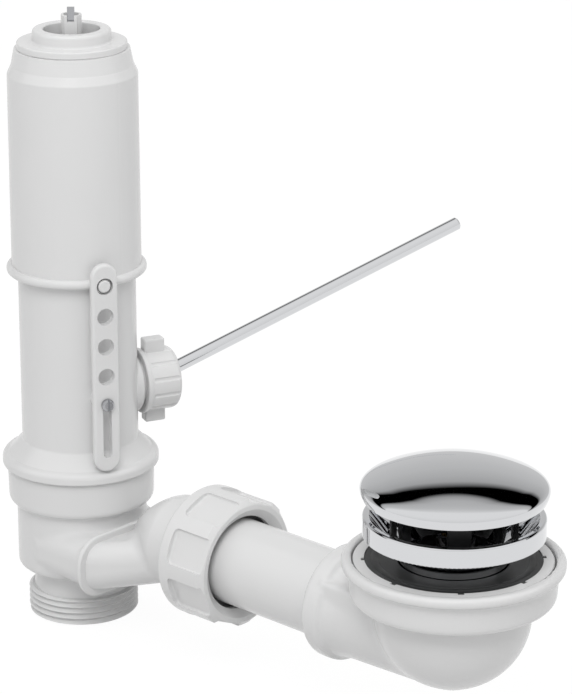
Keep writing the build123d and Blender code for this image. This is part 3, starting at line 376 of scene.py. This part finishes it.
@dataclass
class Foot(SubAssembly):
    """Foot of the tower with its outlet thread and the inlet neck. Sizes in millimetres.

    Attributes:
        pitch: Pitch of the thread.
        depth: Height of its ridge.
        lead_in: Plain stretch at the outlet's end.
        sink: How far the plain wall lies below the thread's root.
        margin: How far above the thread the wall is still drawn in.
        run_out: Turns that are wound past either end before they are cut off.
        steps: Faces round one turn.
        profile_points: Points of the ridge's outline.
        grid: Spacing of the foot's skin.
        skin_rounds: Rounds of smoothing that the whole skin gets.
        duct: Where the duct meets the chamber.
        duct_rounds: Rounds of smoothing that this corner gets.
    """

    pitch: float = 2.309
    depth: float = 1.25
    lead_in: float = 0.7
    sink: float = 0.4
    margin: float = 0.1
    run_out: int = 2
    steps: int = 72
    profile_points: int = 9
    grid: float = 0.6
    skin_rounds: int = 4
    duct: Region = Region((-26.0, -32.0, 11.0), (26.0, 32.0, 42.0), 5)
    duct_rounds: int = 30

    def build(self) -> None:
        """Builds the threaded foot and dresses the neck."""
        mount = next(m for m in self.frame["record"]["mounts"] if m["name"] == "outlet_thread")
        radius = mount["dims"]["r_mm"]
        length = mount["dims"]["length_mm"]
        foot = self.copy_of("base_body")
        self.sink_wall(foot, radius, length)
        foot = self.remeshed(foot, self.grid)
        self.blend(foot, self.duct, self.duct_rounds)
        self.smooth(foot, foot.verts[:], self.skin_rounds)
        self.show("threaded_foot", foot, Slot.WHITE_PLASTIC, Body.BASE, "base_body", crease=NO_CREASE)
        self.show("outlet_thread", self.thread(radius, length), Slot.WHITE_PLASTIC, Body.BASE)
        self.dress(Slot.WHITE_PLASTIC, "inlet_neck")

    def sink_wall(self, foot: bmesh.types.BMesh, radius: float, length: float) -> None:
        """Draws the outlet's plain wall in, a little below the root of its thread.

        Args:
            foot: Mesh of the foot.
            radius: Outside radius of the thread.
            length: Length of the thread.
        """
        wall = (radius - self.depth - self.sink) * MM
        for vert in foot.verts:
            reach = vert.co.xy.length
            if vert.co.z < (length + self.margin) * MM and reach > wall:
                vert.co.xy *= wall / reach

    def thread(self, radius: float, length: float) -> bmesh.types.BMesh:
        """Winds the rounded ridge of a pipe thread round the outlet and closes its ends.

        Args:
            radius: Outside radius of the thread.
            length: Length of the thread.

        Returns:
            The thread as a closed ring.
        """
        bm = bmesh.new()
        root = radius - self.depth
        profile = []
        for index in range(self.profile_points):
            share = index / (self.profile_points - 1)
            swell = 0.5 - 0.5 * math.cos(math.tau * share)
            place = Vector((root + self.depth * swell, 0, (share - self.run_out) * self.pitch))
            profile.append(bm.verts.new(place * MM))
        edges = [bm.edges.new(pair) for pair in zip(profile, profile[1:])]
        turns = math.ceil(length / self.pitch) + 2 * self.run_out
        bmesh.ops.spin(
            bm, geom=[*profile, *edges], cent=(0, 0, 0), axis=(0, 0, 1),
            dvec=(0, 0, self.pitch / self.steps * MM), angle=math.tau * turns, steps=turns * self.steps,
        )
        bmesh.ops.remove_doubles(bm, verts=bm.verts, dist=2 * WELD * MM)
        for height, side in ((self.lead_in, 1), (length, -1)):
            bmesh.ops.bisect_plane(
                bm, geom=[*bm.verts, *bm.edges, *bm.faces], plane_co=(0, 0, height * MM),
                plane_no=(0, 0, side), clear_inner=True,
            )
        rims = [edge for edge in bm.edges if edge.is_boundary]
        ends = bmesh.ops.extrude_edge_only(bm, edges=rims)["geom"]
        inside = (root - 2 * self.sink) * MM
        for vert in ends:
            if isinstance(vert, bmesh.types.BMVert):
                vert.co.xy *= inside / vert.co.xy.length
        loops = [edge for edge in bm.edges if edge.is_boundary]
        bmesh.ops.bridge_loops(bm, edges=loops)
        bmesh.ops.recalc_face_normals(bm, faces=bm.faces)
        return bm


@dataclass
class Union(SubAssembly):
    """Connecting pipe with its union nut and seals."""

    def build(self) -> None:
        """Dresses the union."""
        self.dress(Slot.WHITE_PLASTIC, "compression_nut", "connecting_pipe")
        self.dress(Slot.GREY_RUBBER, "pipe_seal")
        self.dress(Slot.DARK_PLASTIC, "slip_washer")


@dataclass
class Waste(SubAssembly):
    """Waste with its gasket, flange and cover. Sizes in millimetres.

    Attributes:
        grid: Spacing of the body's skin.
        skin_rounds: Rounds of smoothing that the whole skin gets.
        elbow: Where the elbow meets the bowl.
        elbow_rounds: Rounds of smoothing that this corner gets.
        bead_reach: Radius of the bead's ring.
        bead_width: Width of the bead.
        bead_height: How far it stands above the gasket.
        bead_points: Points of half its outline.
        dome_radius: Radius of the cover's dome.
        dome_reach: Distance from the axis at which the dome rolls over.
        lip_turn: Distance at which the dome's slope would meet the lip.
        lip_swell: Distance that the lip's side leans towards.
        lip_reach: Radius of the lip's edge.
        lip_rise: Height of the lip's side above its edge.
        cover_wall: Thickness of the cover.
        boss_reach: Radius of its inner boss.
        boss_drop: Depth of the boss below the crown.
        cover_points: Points of the dome's outline.
        spin_steps: Faces round a ring.
    """

    grid: float = 0.8
    skin_rounds: int = 2
    elbow: Region = Region((152.0, -40.0, 0.0), (230.0, 40.0, 46.0), 9)
    elbow_rounds: int = 100
    bead_reach: float = 27.2
    bead_width: float = 2.4
    bead_height: float = 0.35
    bead_points: int = 9
    dome_radius: float = 69.25
    dome_reach: float = 27.0
    lip_turn: float = 33.26
    lip_swell: float = 33.0
    lip_reach: float = 31.7
    lip_rise: float = 3.2
    cover_wall: float = 1.4
    boss_reach: float = 6.0
    boss_drop: float = 3.2
    cover_points: int = 12
    spin_steps: int = 144

    def build(self) -> None:
        """Builds the moulded body, the gasket's bead and the cover, and dresses the rest."""
        body = self.remeshed(self.copy_of("waste_body"), self.grid)
        self.blend(body, self.elbow, self.elbow_rounds)
        self.smooth(body, body.verts[:], self.skin_rounds)
        self.show("moulded_waste", body, Slot.WHITE_PLASTIC, Body.BASE, "waste_body", crease=NO_CREASE)
        self.show("sealing_bead", self.bead(), Slot.GREY_RUBBER, Body.BASE)
        self.dress(Slot.WHITE_PLASTIC, "seal_carrier")
        self.dress(Slot.GREY_RUBBER, "basin_gasket")
        self.show("domed_cover", self.cover(), Slot.CHROME, Body.BASE, "cover_cap")
        self.dress(Slot.CHROME, "waste_flange")
        self.dress(Slot.DARK_PLASTIC, "cap_carrier")
        self.dress(Slot.STEEL, "flange_screw")
        self.dress(Slot.BRASS, "thread_insert")

    def bead(self) -> bmesh.types.BMesh:
        """Spins the low round bead that seals on the gasket's top, sunk half way into it.

        Returns:
            The bead as a closed ring.
        """
        bm = bmesh.new()
        low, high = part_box("basin_gasket")
        centre = Vector(((low.x + high.x) / 2, (low.y + high.y) / 2, high.z))
        loop = []
        for index in range(2 * self.bead_points):
            angle = math.pi * index / self.bead_points
            across = self.bead_reach + self.bead_width / 2 * math.cos(angle)
            loop.append(bm.verts.new(centre + Vector((across, 0, self.bead_height * math.sin(angle))) * MM))
        edges = [bm.edges.new(pair) for pair in zip(loop, [*loop[1:], loop[0]])]
        bmesh.ops.spin(
            bm, geom=[*loop, *edges], cent=centre, axis=(0, 0, 1), dvec=(0, 0, 0), angle=math.tau,
            steps=self.spin_steps, use_merge=True,
        )
        bmesh.ops.recalc_face_normals(bm, faces=bm.faces)
        return bm

    def cover_line(self, top: float, edge: float) -> list[Vector]:
        """Draws the outside of the cover as one soft line: a flat dome that rolls over into its lip.

        Args:
            top: Height of the dome's crown.
            edge: Height of the lip's edge.

        Returns:
            Points from the crown to the edge, as distances from the axis and heights.
        """
        line = []
        for index in range(self.cover_points):
            reach = self.dome_reach * index / self.cover_points
            line.append(Vector((reach, top - self.dome_radius + math.sqrt(self.dome_radius**2 - reach**2))))
        drop = self.dome_radius - math.sqrt(self.dome_radius**2 - self.dome_reach**2)
        slope = self.dome_reach / math.sqrt(self.dome_radius**2 - self.dome_reach**2)
        start = Vector((self.dome_reach, top - drop))
        turn = Vector((self.lip_turn, start.y - slope * (self.lip_turn - self.dome_reach)))
        swell = Vector((self.lip_swell, edge + self.lip_rise))
        end = Vector((self.lip_reach, edge))
        line += geometry.interpolate_bezier(start, turn, swell, end, 2 * self.cover_points)
        return line

    def cover(self) -> bmesh.types.BMesh:
        """Spins the pressed cover with its lip, even wall and inner boss.

        Returns:
            The cover as a closed shell.
        """
        low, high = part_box("cover_cap")
        centre = Vector(((low.x + high.x) / 2, (low.y + high.y) / 2, 0))
        top = high.z / MM
        outside = self.cover_line(top, low.z / MM)
        inside = []
        for before, point, after in zip(outside, outside[1:], [*outside[2:], outside[-1]]):
            along = (after - before).normalized()
            inside.append(point + Vector((along.y, -along.x)) * self.cover_wall)
        hollow = [point for point in reversed(inside) if point.x > self.boss_reach]
        reach = self.boss_reach
        end = top - self.boss_drop
        boss = [Vector((reach, hollow[-1].y)), Vector((reach, end)), Vector((0, end))]
        bm = bmesh.new()
        line = [
            bm.verts.new(centre + Vector((point.x, 0, point.y)) * MM) for point in (*outside, *hollow, *boss)
        ]
        edges = [bm.edges.new(pair) for pair in zip(line, line[1:])]
        bmesh.ops.spin(
            bm, geom=[*line, *edges], cent=centre, axis=(0, 0, 1), dvec=(0, 0, 0), angle=math.tau,
            steps=self.spin_steps, use_merge=True,
        )
        bmesh.ops.remove_doubles(bm, verts=bm.verts, dist=WELD * MM)
        bmesh.ops.recalc_face_normals(bm, faces=bm.faces)
        return bm


@dataclass
class Tower(SubAssembly):
    """Tower tube, sleeve, head and height strip."""

    def build(self) -> None:
        """Dresses the tower."""
        self.dress(Slot.WHITE_PLASTIC, "outer_tube", "upper_sleeve", "sleeve_cap", "height_strip")
        self.dress(Slot.GREY_RUBBER, "tube_seal", "sleeve_seal")
        self.dress(Slot.STEEL, "guide_screw")


@dataclass
class LiftGear(SubAssembly):
    """Lever, its winged nut and the standpipe that it lifts."""

    def build(self) -> None:
        """Dresses the lift gear."""
        self.dress(Slot.WHITE_PLASTIC, "lever_nut", "standpipe", "lift_stem")
        self.dress(Slot.CHROME, "lever_rod")
        self.dress(Slot.STEEL, "stem_blade")
        self.dress(Slot.DARK_PLASTIC, "pivot_ball", "ball_seat_inner", "ball_seat_outer")
        self.dress(Slot.GREY_RUBBER, "seat_seal")


# Studio

@dataclass(frozen=True)
class Lamp:
    """A soft lamp that polished metal doesn't mirror. Metres and watts."""

    name: str
    place: tuple[float, float, float]
    size: float
    power: float


@dataclass
class Studio:
    """White floor, soft light and the camera. Metres and degrees.

    Attributes:
        eye: Place of the camera.
        heading: Turn of the camera about the upright.
        pitch: How far it looks down.
        lens: Focal length in millimetres.
        sensor: Width of its sensor in millimetres.
        aim: Point that the lamps are turned to.
        floor_size: Length of the floor's sides.
        floor_colour: Colour of the floor where it lights the object.
        floor_share: How much of the floor's look is its even white.
        floor_glow: Strength of that white.
        ambient: Strength of the even light.
        bounces: How often light is passed on between pale surfaces, few for deep shade in corners.
        lamps: The soft lamps.
        behind: What polished metal reflects from the half behind the object.
        before: What it reflects from the half before the object.
        gap_bend: How far the dark gap between them widens to the sides.
        gap_limit: Largest square of the sideways share that widens it.
    """

    eye: tuple[float, float, float] = (0.83077, -0.76472, 0.48850)
    heading: float = 43.4
    pitch: float = 18.78
    lens: float = 163.73
    sensor: float = 36.0
    aim: tuple[float, float, float] = (0.09, 0.0, 0.10)
    floor_size: float = 12.0
    floor_colour: str = "#D6D6D6"
    floor_share: float = 0.90
    floor_glow: float = 1.06
    ambient: float = 0.66
    bounces: int = 2
    lamps: tuple[Lamp, ...] = (
        Lamp("key_lamp", (0.58, -0.70, 1.10), 0.7, 6.6),
        Lamp("top_lamp", (0.30, 0.25, 1.6), 0.9, 2.5),
    )

    # Degrees of height on the arc from the horizon behind the object over the top to the one before it,
    # and the brightness there
    behind: tuple[tuple[float, float], ...] = (
        (0, 0.70), (15, 0.70), (30, 0.66), (40, 0.58), (46, 0.50), (49, 0.25), (52, 0.0),
    )
    before: tuple[tuple[float, float], ...] = (
        (57, 0.0), (60, 0.42), (63.5, 0.60), (71, 0.70), (75.7, 0.82), (82, 1.0), (120, 1.0), (180, 0.9),
    )
    gap_bend: float = 65.0
    gap_limit: float = 0.2

    def build(self) -> None:
        """Builds the floor, the light and the camera."""
        self.make_floor()
        self.make_world()
        for lamp in self.lamps:
            self.hang(lamp)
        self.set_camera()
        scene = bpy.context.scene
        scene.view_settings.view_transform = "Standard"
        scene.cycles.diffuse_bounces = self.bounces

    def make_floor(self) -> None:
        """Lays a white floor that keeps a soft shadow of the object."""
        bm = bmesh.new()
        bmesh.ops.create_grid(bm, x_segments=1, y_segments=1, size=self.floor_size / 2)
        mesh = bpy.data.meshes.new("floor")
        bm.to_mesh(mesh)
        bm.free()
        material = bpy.data.materials.new("white_floor")
        material.use_nodes = True
        tree = material.node_tree
        tree.nodes.clear()
        paint = add_node(tree, "ShaderNodeBsdfDiffuse", {"Color": linear(self.floor_colour)})
        glow = add_node(tree, "ShaderNodeEmission", {"Strength": self.floor_glow})
        path = add_node(tree, "ShaderNodeLightPath")
        seen = add_node(tree, "ShaderNodeMath", {
            0: path.outputs["Is Camera Ray"], 1: path.outputs["Is Glossy Ray"],
        }, operation="MAXIMUM")
        share = add_node(tree, "ShaderNodeMath", {
            0: seen.outputs["Value"], 1: self.floor_share,
        }, operation="MULTIPLY")
        mix = add_node(tree, "ShaderNodeMixShader", {
            0: share.outputs["Value"], 1: paint.outputs["BSDF"], 2: glow.outputs["Emission"],
        })
        add_node(tree, "ShaderNodeOutputMaterial", {"Surface": mix.outputs["Shader"]})
        mesh.materials.append(material)
        floor = bpy.data.objects.new("floor", mesh)
        bpy.context.scene.collection.objects.link(floor)

    def make_world(self) -> None:
        """Surrounds the object with even light, and gives polished metal a studio's bands to reflect."""
        world = bpy.data.worlds.new("studio")
        bpy.context.scene.world = world
        world.use_nodes = True
        tree = world.node_tree
        tree.nodes.clear()
        way = add_node(tree, "ShaderNodeTexCoord").outputs["Generated"]
        heading = math.radians(self.heading)
        up = add_node(tree, "ShaderNodeSeparateXYZ", {"Vector": way})
        away = add_node(tree, "ShaderNodeVectorMath", {
            0: way, 1: (-math.sin(heading), math.cos(heading), 0),
        }, operation="DOT_PRODUCT")
        arc = add_node(tree, "ShaderNodeMath", {
            0: up.outputs["Z"], 1: away.outputs["Value"],
        }, operation="ARCTAN2")
        side = add_node(tree, "ShaderNodeVectorMath", {
            0: way, 1: (math.cos(heading), math.sin(heading), 0),
        }, operation="DOT_PRODUCT")
        square = add_node(tree, "ShaderNodeMath", {0: side.outputs["Value"], 1: 2.0}, operation="POWER")
        held = add_node(tree, "ShaderNodeMath", {
            0: square.outputs["Value"], 1: self.gap_limit,
        }, operation="MINIMUM")
        bent = add_node(tree, "ShaderNodeMath", {
            0: held.outputs["Value"], 1: math.radians(self.gap_bend), 2: arc.outputs["Value"],
        }, operation="MULTIPLY_ADD")
        both = add_node(tree, "ShaderNodeVectorMath", {
            0: self.band(tree, bent, self.behind), 1: self.band(tree, arc, self.before),
        }, operation="ADD")
        even = add_node(tree, "ShaderNodeBackground", {"Color": (1, 1, 1, 1), "Strength": self.ambient})
        bands = add_node(tree, "ShaderNodeBackground", {"Color": both.outputs["Vector"], "Strength": 1.0})
        path = add_node(tree, "ShaderNodeLightPath")
        mix = add_node(tree, "ShaderNodeMixShader", {
            0: path.outputs["Is Glossy Ray"], 1: even.outputs["Background"],
            2: bands.outputs["Background"],
        })
        add_node(tree, "ShaderNodeOutputWorld", {"Surface": mix.outputs["Shader"]})

    def band(self, tree: bpy.types.NodeTree, arc: bpy.types.Node,
             stops: tuple[tuple[float, float], ...]) -> bpy.types.NodeSocket:
        """Grades one half of the surroundings.

        Args:
            tree: Node tree of the world.
            arc: Node that gives the height on the arc.
            stops: Heights in degrees and the brightness there.

        Returns:
            The colour of that half.
        """
        share = add_node(tree, "ShaderNodeMath", {0: arc.outputs["Value"], 1: math.pi}, operation="DIVIDE")
        ramp = add_node(tree, "ShaderNodeValToRGB", {"Fac": share.outputs["Value"]})
        grades = ramp.color_ramp
        while len(grades.elements) < len(stops):
            grades.elements.new(1.0)
        for grade, (level, value) in zip(grades.elements, stops):
            grade.position = level / 180
            grade.color = (value, value, value, 1.0)
        return ramp.outputs["Color"]

    def hang(self, lamp: Lamp) -> None:
        """Hangs a lamp and turns it to the object.

        Args:
            lamp: The lamp.
        """
        light = bpy.data.lights.new(lamp.name, "AREA")
        light.shape = "DISK"
        light.size = lamp.size
        light.energy = lamp.power
        holder = bpy.data.objects.new(lamp.name, light)
        holder.location = lamp.place
        beam = Vector(self.aim) - Vector(lamp.place)
        holder.rotation_euler = beam.to_track_quat("-Z", "Y").to_euler()
        holder.visible_glossy = False
        bpy.context.scene.collection.objects.link(holder)

    def set_camera(self) -> None:
        """Sets up the camera at the photograph's angle."""
        lens = bpy.data.cameras.new("camera")
        lens.lens = self.lens
        lens.sensor_width = self.sensor
        camera = bpy.data.objects.new("camera", lens)
        camera.location = self.eye
        camera.rotation_euler = (math.radians(90 - self.pitch), 0, math.radians(self.heading))
        bpy.context.scene.collection.objects.link(camera)
        bpy.context.scene.camera = camera


def finishes() -> dict[Slot, bpy.types.Material]:
    """Makes the finish of every slot.

    Returns:
        The finished material of each slot.
    """
    return {
        # Polypropylene: light grey-white with a soft sheen. The mould's skin is drawn coarser than it is.
        Slot.WHITE_PLASTIC: MouldedPlastic(
            "moulded_polypropylene", colour="#E2E2E2", roughness=0.24, haze=0.012, haze_size=25.0,
            shade="#DFDFDF", mottle=30.0, grain=1.4, relief=0.002,
        ).material(),
        # Glass-filled nylon: nearly black and dull.
        Slot.DARK_PLASTIC: MouldedPlastic(
            "dark_nylon", colour="#1C1D1E", roughness=0.42, haze=0.05, haze_size=6.0,
            shade="#242526", mottle=12.0, grain=1.0, relief=0.01,
        ).material(),
        # Nitrile rubber: dark grey, smooth with a soft sheen.
        Slot.GREY_RUBBER: MouldedPlastic(
            "nitrile_rubber", colour="#303131", roughness=0.46, haze=0.04, haze_size=5.0,
            shade="#2C2D2D", mottle=14.0, grain=0.9, relief=0.004,
        ).material(),
        # Bright chromium plate: mirror-like with a very slight polishing haze.
        Slot.CHROME: Metal(
            "chromium_plate", colour="#D4D5D7", roughness=0.03, haze=0.01, haze_size=12.0,
        ).material(),
        # Drawn and polished steel: darker and softer than plate.
        Slot.STEEL: Metal(
            "polished_steel", colour="#A8A9AC", roughness=0.08, haze=0.03, haze_size=1.5,
        ).material(),
        # Turned brass: warm and a little dull.
        Slot.BRASS: Metal(
            "turned_brass", colour="#C9A55A", roughness=0.28, haze=0.05, haze_size=2.0,
        ).material(),
    }


def main() -> None:
    """Builds the sub-assemblies and the studio."""
    logging.basicConfig(level=logging.INFO, format="%(message)s")
    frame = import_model()
    looks = finishes()
    for assembly in (Foot, Union, Waste, Tower, LiftGear):
        assembly(frame, looks).build()
    Studio().build()


if __name__ == "__main__":
    main()
